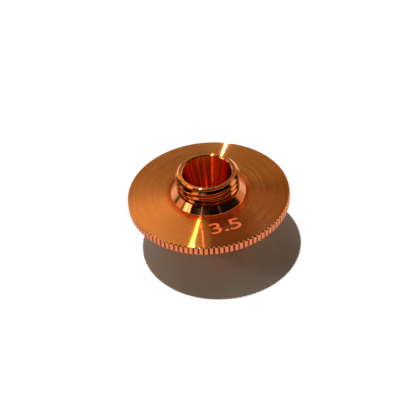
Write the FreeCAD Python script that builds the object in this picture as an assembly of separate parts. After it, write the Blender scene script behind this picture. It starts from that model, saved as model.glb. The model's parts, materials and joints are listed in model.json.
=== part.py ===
import FreeCAD, Part
import math
import os

# A single-layer laser cutting nozzle, turned from one bar of copper.
# It stands on its tip. The origin is the centre of the tip's end face, and +Z runs
# along the bore, from the tip up to the threaded stub. All sizes are in millimetres.

# Lengths along the axis
overall_height = 15.0
stub_height = 4.6           # flange face to the end of the stub
flange_thickness = 1.6
seat_land_height = 0.22     # short straight wall below the centring cone
seat_height = 1.1           # centring cone alone
relief_width = 0.3          # bottom of the run-out groove below the thread

# Flange and its knurled rim
flange_diameter = 28.0
rim_chamfer = 0.16
knurl_count = 104
knurl_depth = 0.21
knurl_angle = 90.0          # between the two flanks of a groove, in degrees
knurl_phase = 0.65          # first groove, in degrees from +X

# Threaded stub and centring cone
thread_diameter = 10.8      # over the crests of the M11 x 1 thread
lead_chamfer = 0.55
relief_diameter = 9.7
relief_flank_angle = 30.0   # groove's upper flank to the end plane, in degrees
seat_diameter = 13.0        # across the land, where the cone is widest
seat_half_angle = 45.0      # cone to axis, in degrees

# Bore, from the mouth in the stub down to the orifice in the tip
mouth_diameter = 8.4
mouth_chamfer = 0.16
bore_half_angle = 13.0      # bore wall to axis, in degrees
orifice_diameter = 3.5

# Nose below the flange
nose_base_diameter = 17.4   # where the nose would meet the flange without its fillet
nose_fillet = 1.0
tip_diameter = 7.0
tip_edge_radius = 0.35

AXIS = FreeCAD.Vector(0, 0, 1)
ORIGIN = FreeCAD.Vector(0, 0, 0)

flange_radius = flange_diameter / 2
thread_radius = thread_diameter / 2
relief_radius = relief_diameter / 2
seat_radius = seat_diameter / 2
mouth_radius = mouth_diameter / 2
orifice_radius = orifice_diameter / 2

face_z = overall_height - stub_height
underside_z = face_z - flange_thickness


def section_point(radius, height):
    """A point of the half section, which lies in the XZ plane."""
    return FreeCAD.Vector(radius, 0, height)


def rounded_corner(before, corner, after, radius):
    """Start, middle and end of the arc that rounds a corner of the section."""
    to_before = (before - corner).normalize()
    to_after = (after - corner).normalize()
    half_angle = to_before.getAngle(to_after) / 2
    setback = radius / math.tan(half_angle)
    to_centre = (to_before + to_after).normalize()
    centre = corner + to_centre * (radius / math.sin(half_angle))
    middle = centre - to_centre * radius
    return corner + to_before * setback, middle, corner + to_after * setback


def section_wire(corners):
    """A closed wire through (point, corner radius) pairs."""
    edges = []
    starts = []
    ends = []
    for index, (corner, radius) in enumerate(corners):
        before = corners[index - 1][0]
        after = corners[(index + 1) % len(corners)][0]
        if radius > 0:
            start, middle, end = rounded_corner(before, corner, after, radius)
            edges.append(Part.Arc(start, middle, end).toShape())
        else:
            start = end = corner
        starts.append(start)
        ends.append(end)
    for index, end in enumerate(ends):
        edges.append(Part.makeLine(end, starts[(index + 1) % len(starts)]))
    return Part.Wire(Part.__sortEdges__(edges))


def nose_corners():
    """Tip face and nose cone, up to where the nose meets the flange."""
    return [
        (section_point(orifice_radius, 0), 0),
        (section_point(tip_diameter / 2, 0), tip_edge_radius),
        (section_point(nose_base_diameter / 2, underside_z), nose_fillet),
    ]


def flange_corners():
    """Rim of the flange, from its underside round to its face."""
    return [
        (section_point(flange_radius - rim_chamfer, underside_z), 0),
        (section_point(flange_radius, underside_z + rim_chamfer), 0),
        (section_point(flange_radius, face_z - rim_chamfer), 0),
        (section_point(flange_radius - rim_chamfer, face_z), 0),
    ]


def seat_corners():
    """Land and centring cone that seat the nozzle in the cutting head."""
    land_top_z = face_z + seat_land_height
    cone_inset = seat_height * math.tan(math.radians(seat_half_angle))
    return [
        (section_point(seat_radius, face_z), 0),
        (section_point(seat_radius, land_top_z), 0),
        (section_point(seat_radius - cone_inset, land_top_z + seat_height), 0),
    ]


def stub_corners():
    """Run-out groove, plain cylinder at the thread's crests, and lead-in chamfer."""
    groove_z = face_z + seat_land_height + seat_height
    flank_z = groove_z + relief_width
    flank_rise = (thread_radius - relief_radius) * math.tan(math.radians(relief_flank_angle))
    return [
        (section_point(relief_radius, groove_z), 0),
        (section_point(relief_radius, flank_z), 0),
        (section_point(thread_radius, flank_z + flank_rise), 0),
        (section_point(thread_radius, overall_height - lead_chamfer), 0),
        (section_point(thread_radius - lead_chamfer, overall_height), 0),
    ]


def bore_corners():
    """Mouth, conical bore and the straight orifice below it."""
    cone_top_z = overall_height - mouth_chamfer
    cone_length = (mouth_radius - orifice_radius) / math.tan(math.radians(bore_half_angle))
    return [
        (section_point(mouth_radius + mouth_chamfer, overall_height), 0),
        (section_point(mouth_radius, cone_top_z), 0),
        (section_point(orifice_radius, cone_top_z - cone_length), 0),
    ]


def turned_blank():
    """The nozzle as it leaves the lathe, before its rim is knurled."""
    corners = nose_corners() + flange_corners() + seat_corners() + stub_corners() + bore_corners()
    return Part.Face(section_wire(corners)).revolve(ORIGIN, AXIS, 360)


def knurl_groove():
    """One V groove of the straight knurl, as a prism that runs past both sides of the rim."""
    overrun = flange_thickness
    root_x = flange_radius - knurl_depth
    open_x = flange_radius + overrun
    half_width = (open_x - root_x) * math.tan(math.radians(knurl_angle / 2))
    low_z = underside_z - overrun
    triangle = Part.makePolygon(
        [
            FreeCAD.Vector(root_x, 0, low_z),
            FreeCAD.Vector(open_x, -half_width, low_z),
            FreeCAD.Vector(open_x, half_width, low_z),
            FreeCAD.Vector(root_x, 0, low_z),
        ]
    )
    return Part.Face(triangle).extrude(AXIS * (flange_thickness + 2 * overrun))


def knurl_grooves():
    """The groove, repeated evenly round the rim."""
    pitch_angle = 360.0 / knurl_count
    first = knurl_groove()
    grooves = []
    for index in range(knurl_count):
        groove = first.copy()
        groove.rotate(ORIGIN, AXIS, knurl_phase + index * pitch_angle)
        grooves.append(groove)
    return Part.makeCompound(grooves)


def nozzle_body():
    """The whole nozzle: one turned and knurled piece."""
    return turned_blank().cut(knurl_grooves())


def main():
    os.makedirs("parts", exist_ok=True)
    body = nozzle_body()
    solid = body.Solids[0]
    solid.exportStep("parts/nozzle_body.step")
    print("solids", len(body.Solids), "valid", solid.isValid(), "volume", round(solid.Volume, 3))


main()
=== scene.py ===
import json
import math
from collections import namedtuple

import bmesh
import bpy
from bpy.props import FloatProperty, FloatVectorProperty, IntProperty, PointerProperty, StringProperty
from mathutils import Matrix, Vector


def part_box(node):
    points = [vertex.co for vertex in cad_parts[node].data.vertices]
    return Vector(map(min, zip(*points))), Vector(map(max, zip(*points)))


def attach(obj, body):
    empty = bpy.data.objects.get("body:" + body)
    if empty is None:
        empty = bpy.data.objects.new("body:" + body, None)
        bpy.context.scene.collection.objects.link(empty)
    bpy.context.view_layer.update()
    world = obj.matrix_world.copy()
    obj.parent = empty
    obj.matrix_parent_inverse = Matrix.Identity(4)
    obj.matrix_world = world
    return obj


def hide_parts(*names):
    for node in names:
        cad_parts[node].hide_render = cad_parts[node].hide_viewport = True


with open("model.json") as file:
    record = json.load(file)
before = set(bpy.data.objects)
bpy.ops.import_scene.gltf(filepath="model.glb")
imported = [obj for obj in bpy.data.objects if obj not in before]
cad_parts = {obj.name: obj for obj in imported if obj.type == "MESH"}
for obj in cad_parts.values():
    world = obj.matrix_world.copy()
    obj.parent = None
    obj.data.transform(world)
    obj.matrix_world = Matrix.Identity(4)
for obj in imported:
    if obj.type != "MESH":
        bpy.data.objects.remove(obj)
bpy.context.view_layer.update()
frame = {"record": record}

bl_info = {
    "name": "Laser Cutting Nozzle",
    "version": (1, 0, 0),
    "blender": (4, 5, 0),
    "location": "3D View > Sidebar > Nozzle",
    "description": "Builds a turned copper laser cutting nozzle and a plain studio round it",
    "category": "Add Mesh",
}

CAD_NODE = "nozzle_body"
MM = 0.001

mounts = {mount["name"]: mount for mount in frame["record"]["mounts"]}
box_low, box_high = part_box(CAD_NODE)
STUB_END = box_high.z
FACE_HEIGHT = mounts["flange_face"]["pos_m"][2]
THREAD_RADIUS = mounts["thread_stub"]["dims"]["r_mm"] * MM
ORIFICE_RADIUS = mounts["orifice"]["dims"]["r_mm"] * MM

# Zones of the outline, in the order of the piece's materials
SEAT, THREAD, BORE, NOSE, RIM, FACE, MARK = range(7)

# Points round one tooth of the knurl, from the middle of a groove to the middle of a land:
# how far round the pitch each lies, and how far up from the groove's root
TOOTH_SPREAD = ((0.0, 0.0), (0.25, 0.035), (0.5, 0.19), (0.75, 0.27), (1.0, 0.5))
TOOTH_RISE = ((0.0, 0.0), (0.25, 0.10), (0.5, 0.78), (0.75, 1.0), (1.0, 1.0))
TOOTH_COLUMNS = 8
# How much deeper or shallower one groove is than the next, as a share of the knurl's depth
PRESS_SPREAD = 0.12
PRESS_SEED = 7

# Thread's crest and root along the axis, as shares of its pitch
CREST_SHARE = 0.14
ROOT_SHARE = 0.22

# Support points stand off a rounded corner by this share of the round's setback
SUPPORT_SHARE = 0.4
# Points nearer than the first are merged, and edges bent more than the second stay crisp
MERGE_DISTANCE = 0.001 * MM
CREASE_ANGLE = math.radians(28)

Panel = namedtuple("Panel", "azimuth elevation half_width half_height softness radiance tint")

# A turned finish: roughness and anisotropy of the shader, spacing of the visible rings in
# millimetres, slope of the fine rings' flanks as its mean outwards and its spread, the share of
# steep flanks with their slope inwards, and the share of flat rings
Finish = namedtuple("Finish", "roughness anisotropy spacing lean ripple steep_share steepness flat_share")
# Visible rings lie closer together on an upright wall than on a level face, by this factor
WALL_FEED = 1.7
# Width of one fine ring, and how many steep ones there are to each that leans outwards
RING_WIDTH = 0.002 * MM
STEEP_TO_OUTWARD = 10.0
# Share of steep rings at the foot of the seat, and how far from the foot the share falls off
FOOT_SHARE = 0.45
FOOT_NEAR, FOOT_FAR = 0.2 * MM, 1.0 * MM
# Outward slope at which a ring begins to take the painted golden highlight of the key lamp's streak, and at
# which it wholly has it
HIGHLIGHT_GOLD_FROM, HIGHLIGHT_GOLD_TO = 0.2, 0.3
# Depths at which the painted shade in the thread's roots and the knurl's grooves sets in and is full, as
# shares of the thread's and knurl's own
ROOT_SHADE_FROM, ROOT_SHADE_TO = 0.05, 0.8
GROOVE_SHADE_FROM, GROOVE_SHADE_TO = 0.05, 0.45
# Grains to the metre of the roughened copper, which the knurling wheel has drawn out upwards
GRAIN_SCALE = 9000.0
KNURL_GRAIN = (GRAIN_SCALE, GRAIN_SCALE, 1500)

# Tints of the light: of the brown room, of its pale ceiling, and of daylight
WARM = (1.0, 0.70, 0.50)
PLASTER = (1.0, 0.93, 0.70)
DAYLIGHT = (1.0, 0.92, 0.72)

# Soft panels of light, in degrees left of the back (+Y) and above the horizon
PANELS = (
    # Ceiling, bright on the left and dim on the right, a strip below it, and the wall behind
    Panel(32, 59, 29, 25, 8, 0.61, PLASTER),
    Panel(-16, 64, 18, 14, 8, 0.10, WARM),
    Panel(16, 44, 44, 6, 8, 0.30, WARM),
    Panel(0, 12, 60, 17, 10, 0.36, WARM),
    # Bright ends of the wall, on the left and on the right
    Panel(80, 25, 10, 8, 5, 0.95, WARM),
    Panel(-72, 18, 11, 8, 6, 0.7, WARM),
    # Three panes of a window
    Panel(110.8, 37.5, 4.6, 4.5, 1, 3.2, DAYLIGHT),
    Panel(102, 35.5, 2.3, 4.5, 1, 7.0, DAYLIGHT),
    Panel(96.5, 34.5, 2.8, 5, 1, 3.4, DAYLIGHT),
    # Soft boxes high on the left and on the right, and a low one on the right
    Panel(95, 64, 14, 5, 4, 1.5, WARM),
    Panel(-66, 45, 12, 7, 4, 1.3, DAYLIGHT),
    Panel(-82, 2, 9, 8, 3, 2.0, DAYLIGHT),
    # Two narrow lamps and a pale wall in front, which the bore and the centring cone show
    Panel(-149, 34.5, 2.4, 3, 1.5, 3.0, WARM),
    Panel(151, 48, 1.5, 3, 1.5, 1.0, DAYLIGHT),
    Panel(165, 36, 14, 4, 4, 0.3, WARM),
)
# Light from all the rest of the room
ROOM_LIGHT = 0.006
# Height to which the white paper sweeps up all round, and half the width of its soft edge
SWEEP_TOP = math.radians(12)
SWEEP_EDGE = math.radians(1.5)
# Towards the key lamp: high, behind the object and a little to the left
KEY_DIRECTION = (-0.165, 0.17, 0.97)
# The floor lies this far below the tip, so that the two never coincide
FLOOR_GAP = 0.02 * MM
# The flange's middle lies above and right of the picture's middle, by these shares of its width
PICTURE_DROP = 0.0394
PICTURE_ASIDE = 0.00103
SENSOR_WIDTH = 36.0


def length(name, description, default):
    """A size in metres."""
    return FloatProperty(name=name, description=description, default=default, unit="LENGTH",
                         precision=5, min=0.0)


def tint(name, description, default):
    """A colour."""
    return FloatVectorProperty(name=name, description=description, default=default,
                               subtype="COLOR", size=3, min=0.0, max=1.0)


class NozzleSizes(bpy.types.PropertyGroup):
    """Sizes of the turned piece."""

    stub_end: length("Height", "From the tip to the end of the stub", STUB_END)
    face_height: length("Face height", "From the tip to the flange's face", FACE_HEIGHT)
    flange_radius: length("Flange radius", "Over the lands of the knurl", 14.0 * MM)
    flange_thickness: length("Flange thickness", "Face to underside", 1.6 * MM)
    rim_chamfer: length("Rim chamfer", "On both edges of the rim", 0.16 * MM)
    edge_round: length("Edge round", "Burr-free radius of a turned edge", 0.035 * MM)
    seat_radius: length("Seat radius", "Land below the centring cone", 6.5 * MM)
    seat_land: length("Seat land", "Height of that land", 0.22 * MM)
    land_round: length("Land round", "Radius of the land's top edge", 0.21 * MM)
    seat_rise: length("Seat rise", "Height of the centring cone, which is as wide", 1.1 * MM)
    relief_radius: length("Relief radius", "Bottom of the run-out groove", 4.85 * MM)
    relief_width: length("Relief width", "Flat bottom of the run-out groove", 0.3 * MM)
    relief_flank: length("Relief flank", "Rise of the groove's slanted flank", 0.3175 * MM)
    thread_radius: length("Thread radius", "Over the crests", THREAD_RADIUS)
    thread_pitch: length("Thread pitch", "From crest to crest", 1.0 * MM)
    thread_depth: length("Thread depth", "Crest to root", 0.54 * MM)
    thread_start: length("Thread start", "Height of the first crest in front of +X", 0.3 * MM)
    lead_chamfer: length("Lead-in chamfer", "At the end of the stub", 0.55 * MM)
    mouth_radius: length("Mouth radius", "Bore below its countersink", 4.2 * MM)
    mouth_chamfer: length("Mouth chamfer", "Countersink of the bore", 0.16 * MM)
    orifice_radius: length("Orifice radius", "Straight hole in the tip", ORIFICE_RADIUS)
    orifice_length: length("Orifice length", "Straight part of the bore",
                           mounts["orifice"]["dims"]["length_mm"] * MM)
    nose_radius: length("Nose radius", "Where the nose would meet the flange", 8.7 * MM)
    nose_fillet: length("Nose fillet", "Between nose and flange", 1.0 * MM)
    tip_radius: length("Tip radius", "Outer edge of the tip", 3.5 * MM)
    tip_round: length("Tip round", "Radius of that edge", 0.35 * MM)
    knurl_teeth: IntProperty(name="Knurl teeth", description="Round the rim", default=104, min=8)
    knurl_depth: length("Knurl depth", "Land to root", 0.21 * MM)
    knurl_phase: FloatProperty(name="Knurl phase", description="First groove, from +X",
                               default=math.radians(0.65), unit="ROTATION")
    columns: IntProperty(name="Columns", description="Faces round the turned surfaces", default=416, min=16)


class SizeMark(bpy.types.PropertyGroup):
    """The orifice size that is marked on the flange."""

    text: StringProperty(name="Text", description="Orifice size in millimetres", default="3.5")
    height: length("Height", "Size of the lettering", 3.6 * MM)
    stretch: FloatProperty(name="Stretch", description="Width against the lettering's own", default=1.4)
    spacing: FloatProperty(name="Spacing", description="Room for each digit against its own", default=0.94)
    stroke: length("Stroke", "Added to each side of the lettering's strokes", 0.028 * MM)
    depth: length("Depth", "How deep the mark is cut", 0.03 * MM)
    left: FloatProperty(name="Left", description="Lower left corner, along X",
                        default=-0.20 * MM, unit="LENGTH", precision=5)
    front: FloatProperty(name="Front", description="Lower left corner, along Y",
                         default=-10.9 * MM, unit="LENGTH", precision=5)
    turn: FloatProperty(name="Turn", description="Turn of the baseline",
                        default=math.radians(14.4), unit="ROTATION")


class Finishes(bpy.types.PropertyGroup):
    """Colours of the copper's finishes, and of the painted shade, highlight and glow on it."""

    bright: tint("Bright copper", "Turned metal, in every other visible ring", (0.93, 0.315, 0.086))
    warm: tint("Warm copper", "Turned metal, in the rings between", (0.90, 0.285, 0.073))
    pressed: tint("Pressed copper", "Lands of the knurl", (0.74, 0.21, 0.085))
    # Painted shade: this colour darkens the knurl's grooves and both chamfers of the rim
    dark: tint("Groove copper", "Grooves of the knurl and chamfers of the rim", (0.22, 0.05, 0.015))
    # Painted shade: this colour darkens the thread's roots
    painted_root_shade: tint("Hollow copper", "Bottom of the thread", (0.22, 0.05, 0.012))
    pale: tint("Pale copper", "Polished metal of the centring cone", (0.80, 0.29, 0.10))
    frosted: tint("Frosted copper", "Inside the size mark", (0.70, 0.15, 0.045))
    # Painted highlight: golden tint of the rings that throw the key lamp's streak
    painted_highlight_gold: tint("Golden copper", "Rings of the face that lean well outwards", (1.0, 0.5, 0.03))
    # Painted glow: copper-red reflected light on the face round the seat's foot
    painted_foot_glow: tint("Flushed copper", "Face round the foot of the seat", (0.95, 0.16, 0.02))


class StudioSettings(bpy.types.PropertyGroup):
    """Camera and light."""

    camera_elevation: FloatProperty(name="Camera elevation", description="Above the horizon",
                                    default=math.radians(40.5), unit="ROTATION")
    camera_roll: FloatProperty(name="Camera roll", description="Turn of the picture",
                               default=math.radians(4.46), unit="ROTATION")
    camera_distance: length("Camera distance", "From the middle of the flange's face", 165.0 * MM)
    camera_lens: FloatProperty(name="Lens", description="Focal length in millimetres",
                               default=83.0, min=1.0)
    floor_radius: length("Floor radius", "Round white floor", 600.0 * MM)
    floor_colour: tint("Floor", "Shade of the paper for the light it throws back", (0.14, 0.13, 0.12))
    key_strength: FloatProperty(name="Key strength", description="Sunlight on the object",
                                default=3.0, min=0.0)
    key_angle: FloatProperty(name="Key angle", description="Width of the key lamp as seen",
                             default=math.radians(1.4), unit="ROTATION")


class NodeWriter:
    """Writes a node tree from left to right. Each call adds one node and gives its first output."""

    def __init__(self, tree):
        self.tree = tree

    def node(self, kind, inputs=None, **settings):
        """One node, with its own settings and with its inputs linked or set."""
        node = self.tree.nodes.new(kind)
        for name, value in settings.items():
            setattr(node, name, value)
        for key, value in (inputs or {}).items():
            self.plug(node.inputs[key], value)
        return node

    def plug(self, socket, value):
        """Links an output to a socket, or sets the socket to a value."""
        if isinstance(value, bpy.types.NodeSocket):
            self.tree.links.new(value, socket)
        else:
            socket.default_value = value

    def out(self, kind, inputs=None, **settings):
        """The first output of a new node that its settings leave in use."""
        node = self.node(kind, inputs, **settings)
        return next(socket for socket in node.outputs if socket.enabled)

    def math(self, operation, *terms, clamp=False):
        """A sum on numbers."""
        node = self.node("ShaderNodeMath", operation=operation, use_clamp=clamp)
        for socket, term in zip(node.inputs, terms):
            self.plug(socket, term)
        return node.outputs[0]

    def whole(self, operation, *terms):
        """A sum on whole numbers."""
        node = self.node("FunctionNodeIntegerMath", operation=operation)
        for socket, term in zip(node.inputs, terms):
            self.plug(socket, term)
        return node.outputs[0]

    def vector(self, operation, *terms, output=0):
        """A sum on vectors."""
        node = self.node("ShaderNodeVectorMath", operation=operation)
        for socket, term in zip(node.inputs, terms):
            self.plug(socket, term)
        return node.outputs[output]

    def remap(self, value, from_low, from_high, to_low, to_high, **settings):
        """A number carried from one range to another, and held at its ends."""
        return self.out("ShaderNodeMapRange", {"Value": value, "From Min": from_low, "From Max": from_high,
                                               "To Min": to_low, "To Max": to_high}, **settings)

    def curve(self, value, points):
        """A number looked up on straight stretches between points."""
        node = self.node("ShaderNodeFloatCurve", {"Value": value})
        line = node.mapping.curves[0]
        for place in points[1:-1]:
            line.points.new(*place)
        for point, place in zip(line.points, points):
            point.location = place
            point.handle_type = "VECTOR"
        node.mapping.update()
        return node.outputs[0]


def rounded(before, corner, after, radius, steps):
    """Points of the arc that rounds a corner of the outline, with one point beyond each end."""
    to_before = (before - corner).normalized()
    to_after = (after - corner).normalized()
    half_angle = to_before.angle(to_after) / 2
    setback = radius / math.tan(half_angle)
    centre = corner + (to_before + to_after).normalized() * (radius / math.sin(half_angle))
    start = corner + to_before * setback - centre
    end = corner + to_after * setback - centre
    swing = start.angle_signed(end)
    turned = [centre + Matrix.Rotation(-swing * step / steps, 2) @ start for step in range(steps + 1)]
    support = setback * SUPPORT_SHARE
    return [turned[0] + to_before * support, *turned, turned[-1] + to_after * support]


def outline_rows(corners):
    """Rows of a chain of (radius, height, rounding, steps, zone) corners, the zone being that of
    the strip that follows."""
    rows = []
    for index, (radius, height, rounding, steps, zone) in enumerate(corners):
        corner = Vector((radius, height))
        if not rounding:
            rows.append((corner, zone))
            continue
        before, after = (Vector(corners[index + side][:2]) for side in (-1, 1))
        for point in rounded(before, corner, after, rounding, steps):
            rows.append((point, zone))
    return rows


def seat_corners(size):
    """From the foot of the seat, over the centring cone, to the end of the run-out groove."""
    face, land = size.face_height, size.face_height + size.seat_land
    top = land + size.seat_rise
    edge = size.edge_round
    return [
        (size.seat_radius, face, 0, 0, SEAT),
        (size.seat_radius, land, size.land_round, 6, SEAT),
        (size.seat_radius - size.seat_rise, top, edge, 3, SEAT),
        (size.relief_radius, top, edge * 2, 3, SEAT),
        (size.relief_radius, top + size.relief_width, 0, 0, THREAD),
    ]


def thread_rows(size):
    """The thread's section, turn after turn, as high as it starts in front of +X."""
    pitch, edge = size.thread_pitch, size.edge_round
    crest, root = pitch * CREST_SHARE, pitch * ROOT_SHARE
    flank = (pitch - crest - root) / 2
    top, bottom = size.thread_radius, size.thread_radius - size.thread_depth
    low, high = thread_span(size)
    first = low + size.thread_start - pitch * math.ceil(size.thread_start / pitch + 2)
    turns = math.ceil((high - first) / pitch) + 1
    corners = [(bottom, first - flank, 0, 0, THREAD)]
    for turn in range(turns):
        start = first + turn * pitch
        corners += [
            (top, start, edge, 2, THREAD),
            (top, start + crest, edge, 2, THREAD),
            (bottom, start + crest + flank, edge * 2, 2, THREAD),
            (bottom, start + crest + flank + root, edge * 2, 2, THREAD),
        ]
    corners.append((top, first + turns * pitch, 0, 0, THREAD))
    return [(point, zone) for point, zone in outline_rows(corners) if low - pitch < point.y < high]


def thread_span(size):
    """Where the threaded wall begins and ends."""
    low = size.face_height + size.seat_land + size.seat_rise + size.relief_width
    return low, size.stub_end - size.edge_round * 1.5


def bore_corners(size):
    """From the lead-in chamfer, over the ring and down the bore, to the underside of the flange."""
    top = size.stub_end
    edge = size.edge_round
    ring = size.thread_radius - size.lead_chamfer
    high = thread_span(size)[1]
    underside = size.face_height - size.flange_thickness
    return [
        (ring + top - high, high, 0, 0, THREAD),
        (ring, top, edge, 3, FACE),
        (size.mouth_radius + size.mouth_chamfer, top, edge, 3, BORE),
        (size.mouth_radius, top - size.mouth_chamfer, edge, 3, BORE),
        (size.orifice_radius, size.orifice_length, edge * 3, 3, BORE),
        (size.orifice_radius, 0, edge, 3, NOSE),
        (size.tip_radius, 0, size.tip_round, 6, NOSE),
        (size.nose_radius, underside, size.nose_fillet, 10, NOSE),
        (size.nose_radius + size.nose_fillet * 2, underside, 0, 0, NOSE),
    ]


def rim_corners(size):
    """The rim of the flange, from its underside round to its face."""
    radius, chamfer, edge = size.flange_radius, size.rim_chamfer, size.edge_round
    face, underside = size.face_height, size.face_height - size.flange_thickness
    return [
        (radius - chamfer * 4, underside, 0, 0, NOSE),
        (radius - chamfer, underside, edge, 2, RIM),
        (radius, underside + chamfer, edge, 2, RIM),
        (radius, face - chamfer, edge, 2, SEAT),
        (radius - chamfer, face, edge, 2, FACE),
        (radius - chamfer * 4, face, 0, 0, FACE),
    ]


def outline_mesh(size):
    """Both chains of the outline as one mesh of loose points: the turned chain, then the rim."""
    seat, thread = outline_rows(seat_corners(size)), thread_rows(size)
    turned = seat + thread + outline_rows(bore_corners(size))
    rim = outline_rows(rim_corners(size))
    after_thread = len(turned) + len(rim) - len(seat) - len(thread)
    mesh = bpy.data.meshes.new("nozzle_outline")
    mesh.from_pydata([(point.x, 0, point.y) for point, _ in turned + rim], [], [])
    facts = {
        "zone": [zone for _, zone in turned + rim],
        "rim": [0] * len(turned) + [1] * len(rim),
        "winding": [0] * len(seat) + [1] * len(thread) + [0] * after_thread,
    }
    for name, values in facts.items():
        mesh.attributes.new(name, "INT", "POINT").data.foreach_set("value", values)
    return mesh


def group_input(tree, name, kind, value):
    """A named input of a geometry tree."""
    socket = tree.interface.new_socket(name, in_out="INPUT", socket_type=kind)
    if value is not None:
        socket.default_value = value


def tree_inputs(size, mark):
    """The named inputs of the nozzle's tree, with their values."""
    low, high = thread_span(size)
    flank_top = low + size.relief_flank
    return {
        "Columns": ("NodeSocketInt", size.columns),
        "Teeth": ("NodeSocketInt", size.knurl_teeth),
        "Knurl Phase": ("NodeSocketFloat", size.knurl_phase),
        "Knurl Root": ("NodeSocketFloat", size.flange_radius - size.knurl_depth),
        "Knurl Depth": ("NodeSocketFloat", size.knurl_depth),
        "Thread Pitch": ("NodeSocketFloat", size.thread_pitch),
        "Thread Low": ("NodeSocketFloat", low),
        "Thread High": ("NodeSocketFloat", high),
        "Thread Radius": ("NodeSocketFloat", size.thread_radius),
        "Relief Radius": ("NodeSocketFloat", size.relief_radius),
        "Relief Top": ("NodeSocketFloat", flank_top),
        "Lead-in Start": ("NodeSocketFloat", size.stub_end - size.lead_chamfer),
        "Lead-in Radius": ("NodeSocketFloat", size.thread_radius - size.lead_chamfer + size.stub_end - high),
        "Face Height": ("NodeSocketFloat", size.face_height),
        "Underside Height": ("NodeSocketFloat", size.face_height - size.flange_thickness),
        "Mark": ("NodeSocketString", mark.text),
        "Mark Height": ("NodeSocketFloat", mark.height),
        "Mark Stretch": ("NodeSocketFloat", mark.stretch),
        "Mark Stroke": ("NodeSocketFloat", mark.stroke),
        "Mark Depth": ("NodeSocketFloat", mark.depth),
        "Mark Spacing": ("NodeSocketFloat", mark.spacing),
        "Mark Turn": ("NodeSocketFloat", mark.turn),
        "Mark Left": ("NodeSocketFloat", mark.left),
        "Mark Front": ("NodeSocketFloat", mark.front),
    }


def turned_grid(write, chain, columns, place):
    """A grid of the chain's rows by the columns, set in place by a rule and closed at its seam."""
    points = write.out("GeometryNodeAttributeDomainSize", {"Geometry": chain}, component="MESH")
    grid = write.out("GeometryNodeMeshGrid", {
        "Vertices X": points, "Vertices Y": write.whole("ADD", columns, 1)})
    index = write.out("GeometryNodeInputIndex")
    around = write.whole("ADD", columns, 1)
    row = write.whole("DIVIDE_FLOOR", index, around)
    column = write.whole("MODULO", index, around)
    placed = write.out("GeometryNodeSetPosition", {
        "Geometry": grid, "Position": place(write, chain, row, column)})
    face_row = write.whole("DIVIDE_FLOOR", write.out("GeometryNodeInputIndex"), columns)
    zoned = write.out("GeometryNodeStoreNamedAttribute", {
        "Geometry": placed, "Name": "zone", "Value": sampled(write, chain, "zone", face_row)},
        data_type="INT", domain="FACE")
    return write.out("GeometryNodeMergeByDistance", {"Geometry": zoned, "Distance": MERGE_DISTANCE})


def sampled(write, chain, name, row):
    """A whole-number fact of the chain at a row."""
    fact = write.out("GeometryNodeInputNamedAttribute", {"Name": name}, data_type="INT")
    return write.out("GeometryNodeSampleIndex", {"Geometry": chain, "Value": fact, "Index": row},
                     data_type="INT", domain="POINT")


def row_place(write, chain, row):
    """Radius and height of the chain at a row."""
    place = write.out("GeometryNodeSampleIndex", {
        "Geometry": chain, "Value": write.out("GeometryNodeInputPosition"), "Index": row},
        data_type="FLOAT_VECTOR", domain="POINT")
    parts = write.node("ShaderNodeSeparateXYZ", {0: place})
    return parts.outputs[0], parts.outputs[2]


def swung(write, radius, angle, height):
    """The point at a radius, an angle round the axis and a height."""
    return write.out("ShaderNodeCombineXYZ", {
        0: write.math("MULTIPLY", radius, write.math("COSINE", angle)),
        1: write.math("MULTIPLY", radius, write.math("SINE", angle)),
        2: height})


def threaded_place(inputs):
    """The rule of the turned surfaces: rows of the thread climb one pitch for each turn, and are
    cut back to the run-out groove below and the lead-in chamfer above."""

    def place(write, chain, row, column):
        radius, height = row_place(write, chain, row)
        turn = write.math("DIVIDE", column, inputs["Columns"])
        winding = sampled(write, chain, "winding", row)
        climb = write.math("MULTIPLY", write.math("MULTIPLY", turn, inputs["Thread Pitch"]), winding)
        climbed = write.math("ADD", height, climb)
        above_low = write.math("MAXIMUM", inputs["Thread Low"], climbed)
        held = write.math("MINIMUM", inputs["Thread High"], above_low)
        relief = write.remap(held, inputs["Thread Low"], inputs["Relief Top"],
                             inputs["Relief Radius"], inputs["Thread Radius"])
        lead = write.remap(held, inputs["Lead-in Start"], inputs["Thread High"],
                           inputs["Thread Radius"], inputs["Lead-in Radius"])
        # Rows that are held at an end lie together on its limit, whatever their own radius
        inside = write.math("COMPARE", climbed, held, MERGE_DISTANCE / 10)
        own = write.math("ADD", radius, write.math("SUBTRACT", 1.0, inside))
        cut_back = write.math("MINIMUM", own, write.math("MINIMUM", relief, lead))
        angle = write.math("MULTIPLY", turn, math.tau)
        wound = swung(write, cut_back, angle, held)
        plain = swung(write, radius, angle, height)
        return write.node("ShaderNodeMix", {0: winding, 4: plain, 5: wound}, data_type="VECTOR").outputs[1]
    return place


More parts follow.
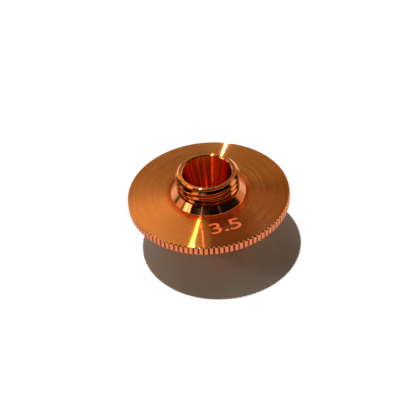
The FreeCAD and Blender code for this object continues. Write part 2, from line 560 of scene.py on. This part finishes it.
def knurled_place(inputs):
    """The rule of the rim: a tooth's columns are gathered at the flanks of its groove."""
    half_tooth = TOOTH_COLUMNS // 2

    def place(write, chain, row, column):
        radius, height = row_place(write, chain, row)
        tooth = write.whole("DIVIDE_FLOOR", column, TOOTH_COLUMNS)
        side = write.whole("SUBTRACT", write.whole("MODULO", column, TOOTH_COLUMNS), half_tooth)
        away = write.math("DIVIDE", write.math("ABSOLUTE", side), float(half_tooth))
        spread = write.math("MULTIPLY", write.curve(away, TOOTH_SPREAD), write.math("SIGN", side))
        pitch = write.math("DIVIDE", math.tau, inputs["Teeth"])
        angle = write.math("MULTIPLY_ADD", write.math("ADD", tooth, spread), pitch, inputs["Knurl Phase"])
        press = write.node("FunctionNodeRandomValue", {
            "Min": -PRESS_SPREAD, "Max": PRESS_SPREAD, "Seed": PRESS_SEED,
            "ID": write.whole("MODULO", tooth, inputs["Teeth"])})
        rise = write.math("ADD", write.curve(away, TOOTH_RISE),
                          write.math("MULTIPLY", press.outputs[1], write.math("SUBTRACT", 1.0, away)))
        groove = write.math("MULTIPLY_ADD", inputs["Knurl Depth"], rise, inputs["Knurl Root"])
        return swung(write, write.math("MINIMUM", radius, groove), angle, height)
    return place


def open_loops(write, parts, height):
    """The open edges of the parts at a height, as closed curves."""
    joined = write.node("GeometryNodeJoinGeometry")
    for part in reversed(parts):
        write.tree.links.new(part, joined.inputs[0])
    faces = write.node("GeometryNodeInputMeshEdgeNeighbors").outputs[0]
    level = write.node("ShaderNodeSeparateXYZ", {0: write.out("GeometryNodeInputPosition")}).outputs[2]
    near = write.math("COMPARE", level, height, MERGE_DISTANCE)
    single = write.math("COMPARE", faces, 1.0, 0.1)
    return write.out("GeometryNodeMeshToCurve", {
        "Mesh": joined.outputs[0], "Selection": write.math("MULTIPLY", near, single)})


def filled(write, loops, height, zone):
    """A flat face between closed curves, laid at a height."""
    joined = write.node("GeometryNodeJoinGeometry")
    for loop in reversed(loops):
        write.tree.links.new(loop, joined.inputs[0])
    flat = write.out("GeometryNodeFillCurve", {"Curve": joined.outputs[0]}, mode="TRIANGLES")
    lift = write.out("ShaderNodeCombineXYZ", {2: height})
    placed = write.out("GeometryNodeSetPosition", {"Geometry": flat, "Offset": lift})
    return write.out("GeometryNodeStoreNamedAttribute", {
        "Geometry": placed, "Name": "zone", "Value": zone}, data_type="INT", domain="FACE")


def mark_curves(write, inputs):
    """The digits of the size mark, stretched, turned, set on the flange and made bolder."""
    text = write.out("GeometryNodeStringToCurves", {
        "String": inputs["Mark"], "Size": inputs["Mark Height"], "Character Spacing": inputs["Mark Spacing"]})
    letters = write.out("GeometryNodeRealizeInstances", {"Geometry": text})
    corner = write.out("ShaderNodeCombineXYZ", {0: inputs["Mark Left"], 1: inputs["Mark Front"]})
    turn = write.out("ShaderNodeCombineXYZ", {2: inputs["Mark Turn"]})
    stretch = write.out("ShaderNodeCombineXYZ", {0: inputs["Mark Stretch"], 1: 1.0, 2: 1.0})
    placed = write.out("GeometryNodeTransform", {
        "Geometry": letters, "Translation": corner, "Rotation": turn, "Scale": stretch})
    outward = write.vector("CROSS_PRODUCT", write.out("GeometryNodeInputTangent"), (0, 0, 1))
    offset = write.node("ShaderNodeVectorMath", {0: outward, "Scale": inputs["Mark Stroke"]},
                        operation="SCALE").outputs[0]
    return write.out("GeometryNodeSetPosition", {"Geometry": placed, "Offset": offset})


def mark_recess(write, inputs, curves):
    """Floor and walls of the shallow recess that the digits are cut to."""
    deep = write.math("SUBTRACT", inputs["Face Height"], inputs["Mark Depth"])
    floor = filled(write, [curves], deep, MARK)
    faces = write.node("GeometryNodeInputMeshEdgeNeighbors").outputs[0]
    rise = write.out("ShaderNodeCombineXYZ", {2: inputs["Mark Depth"]})
    return write.out("GeometryNodeExtrudeMesh", {
        "Mesh": floor, "Selection": write.math("COMPARE", faces, 1.0, 0.1),
        "Offset": rise, "Offset Scale": 1.0}, mode="EDGES")


def nozzle_tree(size, mark, materials):
    """The geometry tree that turns the outline into the closed nozzle."""
    tree = bpy.data.node_groups.new("turned_nozzle", "GeometryNodeTree")
    group_input(tree, "Outline", "NodeSocketGeometry", None)
    for name, (kind, value) in tree_inputs(size, mark).items():
        group_input(tree, name, kind, value)
    tree.interface.new_socket("Nozzle", in_out="OUTPUT", socket_type="NodeSocketGeometry")
    write = NodeWriter(tree)
    inputs = write.node("NodeGroupInput").outputs
    is_rim = write.out("GeometryNodeInputNamedAttribute", {"Name": "rim"}, data_type="INT")
    chains = write.node("GeometryNodeSeparateGeometry", {"Geometry": inputs["Outline"], "Selection": is_rim})
    rim_chain, turned_chain = chains.outputs[:2]
    turned = turned_grid(write, turned_chain, inputs["Columns"], threaded_place(inputs))
    around_rim = write.whole("MULTIPLY", inputs["Teeth"], TOOTH_COLUMNS)
    rim = turned_grid(write, rim_chain, around_rim, knurled_place(inputs))
    digits = mark_curves(write, inputs)
    face_loops = open_loops(write, [turned, rim], inputs["Face Height"])
    face = filled(write, [face_loops, digits], inputs["Face Height"], FACE)
    under_loops = open_loops(write, [turned, rim], inputs["Underside Height"])
    underside = filled(write, [under_loops], inputs["Underside Height"], NOSE)
    joined = write.node("GeometryNodeJoinGeometry")
    for part in (mark_recess(write, inputs, digits), underside, face, rim, turned):
        tree.links.new(part, joined.inputs[0])
    closed = write.out("GeometryNodeMergeByDistance", {
        "Geometry": joined.outputs[0], "Distance": MERGE_DISTANCE})
    smooth = write.out("GeometryNodeSetShadeSmooth", {"Geometry": closed})
    bend = write.node("GeometryNodeInputMeshEdgeAngle").outputs[0]
    crisp = write.out("GeometryNodeSetShadeSmooth", {
        "Geometry": smooth, "Selection": write.math("GREATER_THAN", bend, CREASE_ANGLE),
        "Shade Smooth": False}, domain="EDGE")
    finished = write.out("GeometryNodeRealizeInstances", {"Geometry": crisp})
    zone = write.out("GeometryNodeInputNamedAttribute", {"Name": "zone"}, data_type="INT")
    for index, material in enumerate(materials):
        finished = write.out("GeometryNodeSetMaterial", {
            "Geometry": finished, "Selection": write.math("COMPARE", zone, float(index), 0.1),
            "Material": material})
    write.node("NodeGroupOutput", {"Nozzle": finished})
    return tree


def set_modifier_inputs(modifier, values):
    """Sets a modifier's inputs by the identifiers of their sockets."""
    for item in modifier.node_group.interface.items_tree:
        if item.item_type == "SOCKET" and item.in_out == "INPUT" and item.name in values:
            modifier[item.identifier] = values[item.name][1]


def from_axis(write, place):
    """Distance of a point from the nozzle's axis."""
    return write.vector("LENGTH", write.vector("MULTIPLY", place, (1, 1, 0)), output=1)


def round_axis(write, place):
    """Direction round the nozzle's axis at a point."""
    return write.vector("NORMALIZE", write.vector("CROSS_PRODUCT", (0, 0, 1), place))


def metal(name, base, roughness, anisotropy):
    """A metal that the tool's marks run round, with its node writer, shader and object coordinates."""
    material = bpy.data.materials.new(name)
    material.use_nodes = True
    tree = material.node_tree
    tree.nodes.clear()
    write = NodeWriter(tree)
    shader = write.node("ShaderNodeBsdfPrincipled", {
        "Base Color": (*base, 1.0), "Metallic": 1.0, "Roughness": roughness,
        "Anisotropic": anisotropy, "Anisotropic Rotation": 0.25})
    write.node("ShaderNodeOutputMaterial", {"Surface": shader.outputs[0]})
    place = write.node("ShaderNodeTexCoord").outputs["Object"]
    write.plug(shader.inputs["Tangent"], round_axis(write, place))
    return material, write, shader, place


def ring_noise(write, place, spacing):
    """Noise in rings round the axis, one ring to each spacing."""
    level = write.node("ShaderNodeSeparateXYZ", {0: place}).outputs[2]
    along = write.math("MULTIPLY_ADD", level, WALL_FEED, from_axis(write, place))
    return write.out("ShaderNodeTexNoise", {
        "W": write.math("DIVIDE", along, spacing), "Scale": 1.0, "Detail": 2.0, "Roughness": 0.6},
        noise_dimensions="1D")


def blend_colours(write, share, first, second):
    """A colour between two, each of which is a socket or a set of red, green and blue."""
    first, second = (colour if isinstance(colour, bpy.types.NodeSocket) else (*colour, 1.0)
                     for colour in (first, second))
    return write.node("ShaderNodeMix", {0: share, 6: first, 7: second}, data_type="RGBA").outputs[2]


def flank_slopes(write, place, finish, foot):
    """Slope of each fine ring, and how near it is to the foot of the seat. Most rings lean outwards
    by a little, some are flat, and some are steep and lean inwards, but a few of those outwards.
    Round the foot, where the tool ran out, more are steep."""
    radius = from_axis(write, place)
    ring = write.math("FLOOR", write.math("DIVIDE", radius, RING_WIDTH))
    chance = write.node("ShaderNodeTexWhiteNoise", {"W": ring}, noise_dimensions="1D").outputs["Color"]
    first, second, third = write.node("ShaderNodeSeparateColor", {0: chance}).outputs
    gentle = write.math("MULTIPLY_ADD", write.math("SUBTRACT", write.math("ADD", first, second), 1.0),
                        finish.ripple, finish.lean)
    inward = write.math("MULTIPLY_ADD", first, finish.ripple, -finish.steepness)
    from_foot = write.math("ABSOLUTE", write.math("SUBTRACT", radius, foot))
    nearness = write.remap(from_foot, FOOT_NEAR, FOOT_FAR, 1.0, 0.0)
    share = write.math("MULTIPLY_ADD", nearness, FOOT_SHARE - finish.steep_share, finish.steep_share)
    turned_over = write.math("LESS_THAN", third, write.math("DIVIDE", share, STEEP_TO_OUTWARD))
    steep = write.math("MULTIPLY", inward, write.math("MULTIPLY_ADD", turned_over, -2.0, 1.0))
    is_steep = write.math("LESS_THAN", third, share)
    slope = write.node("ShaderNodeMix", {0: is_steep, 2: gentle, 3: steep}).outputs[0]
    not_flat = write.math("LESS_THAN", third, 1.0 - finish.flat_share)
    return write.math("MULTIPLY", slope, not_flat), nearness


def root_shade_share(write, place, size):
    """How deep in the thread a point lies, from its crests and lead-in chamfer down to its roots, as the
    share of painted shade there.
    """
    level = write.node("ShaderNodeSeparateXYZ", {0: place}).outputs[2]
    lead = write.math("SUBTRACT", size.thread_radius - size.lead_chamfer + size.stub_end, level)
    envelope = write.math("MINIMUM", lead, size.thread_radius)
    depth = write.math("SUBTRACT", envelope, from_axis(write, place))
    return write.remap(depth, size.thread_depth * ROOT_SHADE_FROM, size.thread_depth * ROOT_SHADE_TO, 0.0, 1.0)


def turned_copper(name, tones, finish, size, painted_root_shade=None, face_tones=None):
    """Copper with the fine rings of a turning tool, which are of two tones. The roots of a thread take
    a painted shade. On the flange's face the rings that lean well outwards, which throw the key
    lamp's streak, take a painted golden highlight, and those round the foot of the seat a painted glow."""
    material, write, shader, place = metal(name, tones[0], finish.roughness, finish.anisotropy)
    foot = size.seat_radius if face_tones else 0.0
    colour = blend_colours(write, ring_noise(write, place, finish.spacing * MM), *tones)
    slope, nearness = flank_slopes(write, place, finish, foot)
    # Painted shade: the thread darkens towards its roots
    if painted_root_shade:
        colour = blend_colours(write, root_shade_share(write, place, size), colour, painted_root_shade)
    if face_tones:
        painted_highlight_gold, painted_foot_glow = face_tones
        # Painted highlight: rings steep enough to throw the key lamp's streak are tinted golden
        highlight_gold_share = write.remap(slope, HIGHLIGHT_GOLD_FROM, HIGHLIGHT_GOLD_TO, 0.0, 1.0)
        colour = blend_colours(write, highlight_gold_share, colour, painted_highlight_gold)
        # Painted glow: the face round the seat's foot takes the red of light reflected between copper
        # surfaces
        colour = blend_colours(write, nearness, colour, painted_foot_glow)
    write.plug(shader.inputs["Base Color"], colour)
    normal = write.node("ShaderNodeNewGeometry").outputs["Normal"]
    outwards = write.vector("CROSS_PRODUCT", round_axis(write, place), normal)
    scaled = write.node("ShaderNodeVectorMath", {0: outwards, "Scale": slope}, operation="SCALE").outputs[0]
    write.plug(shader.inputs["Normal"], write.vector("NORMALIZE", write.vector("ADD", normal, scaled)))
    return material


def knurled_copper(name, colours, size):
    """Pressed copper: bright burnished lands, with painted shade in the grooves and on both chamfers of the
    rim.
    """
    material, write, shader, place = metal(name, colours.pressed, 0.3, 0.0)
    height = write.remap(from_axis(write, place), size.flange_radius - size.knurl_depth * GROOVE_SHADE_TO,
                         size.flange_radius - size.knurl_depth * GROOVE_SHADE_FROM, 0.0, 1.0)
    # Painted shade: both chamfers of the rim are darkened as the grooves are
    middle = size.face_height - size.flange_thickness / 2
    level = write.node("ShaderNodeSeparateXYZ", {0: place}).outputs[2]
    reach = write.math("ABSOLUTE", write.math("SUBTRACT", level, middle))
    wall = size.flange_thickness / 2 - size.rim_chamfer
    height = write.math("MULTIPLY", height, write.remap(reach, wall, wall + size.edge_round, 1.0, 0.0))
    grain = write.out("ShaderNodeTexNoise", {
        "Vector": write.vector("MULTIPLY", place, KNURL_GRAIN), "Scale": 1.0, "Detail": 3.0})
    # Painted shade: the lands take the pressed colour, and the grooves and chamfers fall to the painted dark
    shade = write.math("MULTIPLY_ADD", write.math("SUBTRACT", grain, 0.5), 0.5, height, clamp=True)
    write.plug(shader.inputs["Base Color"], blend_colours(write, shade, colours.dark, colours.pressed))
    write.plug(shader.inputs["Roughness"], write.remap(grain, 0.3, 0.7, 0.28, 0.45))
    bump = write.out("ShaderNodeBump", {"Strength": 0.3, "Distance": 0.01 * MM, "Height": grain})
    write.plug(shader.inputs["Normal"], bump)
    return material


def frosted_copper(name, colours):
    """Copper that a marking laser has roughened."""
    material, write, shader, place = metal(name, colours.frosted, 0.6, 0.0)
    speckle = write.out("ShaderNodeTexNoise", {"Vector": place, "Scale": GRAIN_SCALE, "Detail": 3.0})
    write.plug(shader.inputs["Roughness"], write.remap(speckle, 0.3, 0.7, 0.5, 0.75))
    bump = write.out("ShaderNodeBump", {"Strength": 0.6, "Distance": 0.01 * MM, "Height": speckle})
    write.plug(shader.inputs["Normal"], bump)
    return material


def nozzle_materials(size, colours):
    """The copper's finishes, in the order of the outline's zones."""
    turned, polished = (colours.bright, colours.warm), (colours.pale, colours.pale)
    return [
        turned_copper("copper_seat", polished, Finish(0.11, 1.0, 0.25, 0.0, 0.03, 0.0, 0.0, 0.0), size),
        turned_copper("copper_thread", turned, Finish(0.09, 0.9, 0.20, 0.0, 0.03, 0.0, 0.0, 0.0), size,
                      painted_root_shade=colours.painted_root_shade),
        turned_copper("copper_bore", turned, Finish(0.14, 0.95, 0.30, 0.0, 0.05, 0.0, 0.0, 0.0), size),
        turned_copper("copper_nose", turned, Finish(0.25, 0.9, 0.40, 0.0, 0.10, 0.0, 0.0, 0.0), size),
        knurled_copper("copper_knurl", colours, size),
        turned_copper("copper_face", turned, Finish(0.075, 1.0, 0.30, 0.10, 0.24, 0.16, 0.49, 0.12), size,
                      face_tones=(colours.painted_highlight_gold, colours.painted_foot_glow)),
        frosted_copper("copper_mark", colours),
    ]


def add_object(name, data):
    """Links a new object to the scene."""
    thing = bpy.data.objects.new(name, data)
    bpy.context.scene.collection.objects.link(thing)
    return thing


def plain_mesh(thing, name):
    """The evaluated object as a mesh of its own, closed and facing outwards."""
    evaluated = thing.evaluated_get(bpy.context.evaluated_depsgraph_get())
    mesh = bpy.data.meshes.new_from_object(evaluated)
    mesh.name = name
    while None in mesh.materials[:]:
        mesh.materials.pop(index=mesh.materials[:].index(None))
    shape = bmesh.new()
    shape.from_mesh(mesh)
    bmesh.ops.recalc_face_normals(shape, faces=shape.faces)
    open_edges = [edge for edge in shape.edges if len(edge.link_faces) != 2]
    shape.to_mesh(mesh)
    shape.free()
    if open_edges:
        raise RuntimeError(f"{name} has {len(open_edges)} edges without two faces")
    return mesh


class NOZZLE_OT_turned_body(bpy.types.Operator):
    """Turn the nozzle from its outline, with its knurl, thread and size mark"""

    bl_idname = "nozzle.turned_body"
    bl_label = "Turned Body"

    def execute(self, context):
        size, mark = context.scene.nozzle_sizes, context.scene.nozzle_mark
        materials = nozzle_materials(size, context.scene.nozzle_finishes)
        body = add_object("turned_body", outline_mesh(size))
        modifier = body.modifiers.new("Nozzle", "NODES")
        modifier.node_group = nozzle_tree(size, mark, materials)
        set_modifier_inputs(modifier, tree_inputs(size, mark))
        context.view_layer.update()
        mesh = plain_mesh(body, "turned_body")
        body.modifiers.clear()
        body.data = mesh
        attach(body, "root")
        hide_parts(CAD_NODE)
        return {"FINISHED"}


def camera_place(studio, centre):
    """Position and rotation of the camera, which looks along +Y and down at the flange."""
    elevation = studio.camera_elevation
    back = Vector((0, -math.cos(elevation), math.sin(elevation)))
    turn = (-back).to_track_quat("-Z", "Y").to_matrix().to_4x4()
    drop = math.atan(PICTURE_DROP * SENSOR_WIDTH / studio.camera_lens)
    aside = math.atan(PICTURE_ASIDE * SENSOR_WIDTH / studio.camera_lens)
    aim = Matrix.Rotation(-drop, 4, "X") @ Matrix.Rotation(aside, 4, "Y")
    roll = Matrix.Rotation(studio.camera_roll, 4, "Z")
    return Matrix.Translation(centre + back * studio.camera_distance) @ turn @ roll.inverted() @ aim


def floor_material(studio):
    """Plain paper: white to the camera and in what the camera sees mirrored, and darker for all other
    light, so that it throws little back on the object."""
    material = bpy.data.materials.new("white_floor")
    material.use_nodes = True
    material.node_tree.nodes.clear()
    write = NodeWriter(material.node_tree)
    rays = write.node("ShaderNodeLightPath").outputs
    mirrored = write.math("MAXIMUM", rays["Is Glossy Ray"], rays["Is Transmission Ray"])
    direct = write.math("LESS_THAN", rays["Diffuse Depth"], 0.5)
    seen = write.math("MAXIMUM", rays["Is Camera Ray"], write.math("MULTIPLY", mirrored, direct))
    colour = blend_colours(write, seen, studio.floor_colour, (1.0, 1.0, 1.0))
    shader = write.out("ShaderNodeBsdfDiffuse", {"Color": colour})
    write.node("ShaderNodeOutputMaterial", {"Surface": shader})
    return material


def panel_light(write, azimuth, elevation, panel):
    """Light of one soft-edged panel, in its tint."""
    share = panel.radiance
    for angle, centre, half in ((azimuth, panel.azimuth, panel.half_width),
                                (elevation, panel.elevation, panel.half_height)):
        away = write.math("ABSOLUTE", write.math("SUBTRACT", angle, math.radians(centre)))
        edge = write.remap(away, math.radians(half - panel.softness / 2),
                           math.radians(half + panel.softness / 2), 1.0, 0.0, interpolation_type="SMOOTHSTEP")
        share = write.math("MULTIPLY", share, edge)
    return write.node("ShaderNodeVectorMath", {0: panel.tint, "Scale": share}, operation="SCALE").outputs[0]


def studio_world():
    """A dark room with soft panels of light, and with white paper that sweeps up all round."""
    world = bpy.data.worlds.new("studio")
    bpy.context.scene.world = world
    world.use_nodes = True
    world.node_tree.nodes.clear()
    write = NodeWriter(world.node_tree)
    direction = write.node("ShaderNodeTexCoord").outputs["Generated"]
    away = write.node("ShaderNodeSeparateXYZ", {0: direction}).outputs
    azimuth = write.math("ARCTAN2", write.math("MULTIPLY", away[0], -1.0), away[1])
    elevation = write.math("ARCSINE", away[2])
    light = (ROOM_LIGHT,) * 3
    for panel in PANELS:
        light = write.vector("ADD", light, panel_light(write, azimuth, elevation, panel))
    sweep = write.remap(elevation, SWEEP_TOP - SWEEP_EDGE, SWEEP_TOP + SWEEP_EDGE, 1.0, 0.0,
                        interpolation_type="SMOOTHSTEP")
    rays = write.node("ShaderNodeLightPath").outputs
    mirrored = write.math("MAXIMUM", rays["Is Glossy Ray"], rays["Is Transmission Ray"])
    seen = write.math("MAXIMUM", rays["Is Camera Ray"], mirrored)
    paper = write.math("MULTIPLY", sweep, seen)
    background = write.node("ShaderNodeBackground", {"Color": write.vector("MAXIMUM", light, paper)})
    write.node("ShaderNodeOutputWorld", {"Surface": background.outputs[0]})


def add_lamp(name, direction, strength, width):
    """A lamp far away in a direction."""
    lamp = bpy.data.lights.new(name, "SUN")
    lamp.energy = strength
    lamp.angle = width
    add_object(name, lamp).rotation_euler = Vector(direction).to_track_quat("Z", "Y").to_euler()


class NOZZLE_OT_studio(bpy.types.Operator):
    """Set up the floor, the light and the camera"""

    bl_idname = "nozzle.studio"
    bl_label = "Studio"

    def execute(self, context):
        studio = context.scene.nozzle_studio
        context.scene.view_settings.view_transform = "Standard"
        shape = bmesh.new()
        bmesh.ops.create_circle(shape, cap_ends=True, radius=studio.floor_radius, segments=96)
        mesh = bpy.data.meshes.new("floor")
        shape.to_mesh(mesh)
        shape.free()
        mesh.transform(Matrix.Translation((0, 0, box_low.z - FLOOR_GAP)))
        mesh.materials.append(floor_material(studio))
        add_object("floor", mesh)
        add_lamp("key", KEY_DIRECTION, studio.key_strength, studio.key_angle)
        studio_world()
        camera = add_object("camera", bpy.data.cameras.new("camera"))
        camera.data.lens = studio.camera_lens
        camera.data.clip_start = studio.camera_distance * 0.01
        camera.data.clip_end = studio.floor_radius * 10
        camera.matrix_world = camera_place(studio, Vector((0, 0, FACE_HEIGHT)))
        context.scene.camera = camera
        return {"FINISHED"}


class NOZZLE_PT_panel(bpy.types.Panel):
    """Buttons and sizes of the nozzle"""

    bl_idname = "NOZZLE_PT_panel"
    bl_label = "Laser Cutting Nozzle"
    bl_space_type = "VIEW_3D"
    bl_region_type = "UI"
    bl_category = "Nozzle"

    def draw(self, context):
        layout = self.layout
        for operator in (NOZZLE_OT_turned_body, NOZZLE_OT_studio):
            layout.operator(operator.bl_idname)
        for name in GROUPS:
            column = layout.column(align=True)
            group = getattr(context.scene, name)
            for item in group.bl_rna.properties.keys():
                if item not in ("rna_type", "name"):
                    column.prop(group, item)


GROUPS = {
    "nozzle_sizes": NozzleSizes,
    "nozzle_mark": SizeMark,
    "nozzle_finishes": Finishes,
    "nozzle_studio": StudioSettings,
}
CLASSES = (*GROUPS.values(), NOZZLE_OT_turned_body, NOZZLE_OT_studio, NOZZLE_PT_panel)


def register():
    for cls in CLASSES:
        bpy.utils.register_class(cls)
    for name, group in GROUPS.items():
        setattr(bpy.types.Scene, name, PointerProperty(type=group))


def unregister():
    for name in GROUPS:
        delattr(bpy.types.Scene, name)
    for cls in reversed(CLASSES):
        bpy.utils.unregister_class(cls)


def main():
    """Builds the nozzle and its studio."""
    register()
    bpy.ops.nozzle.turned_body()
    bpy.ops.nozzle.studio()


if __name__ == "__main__":
    main()
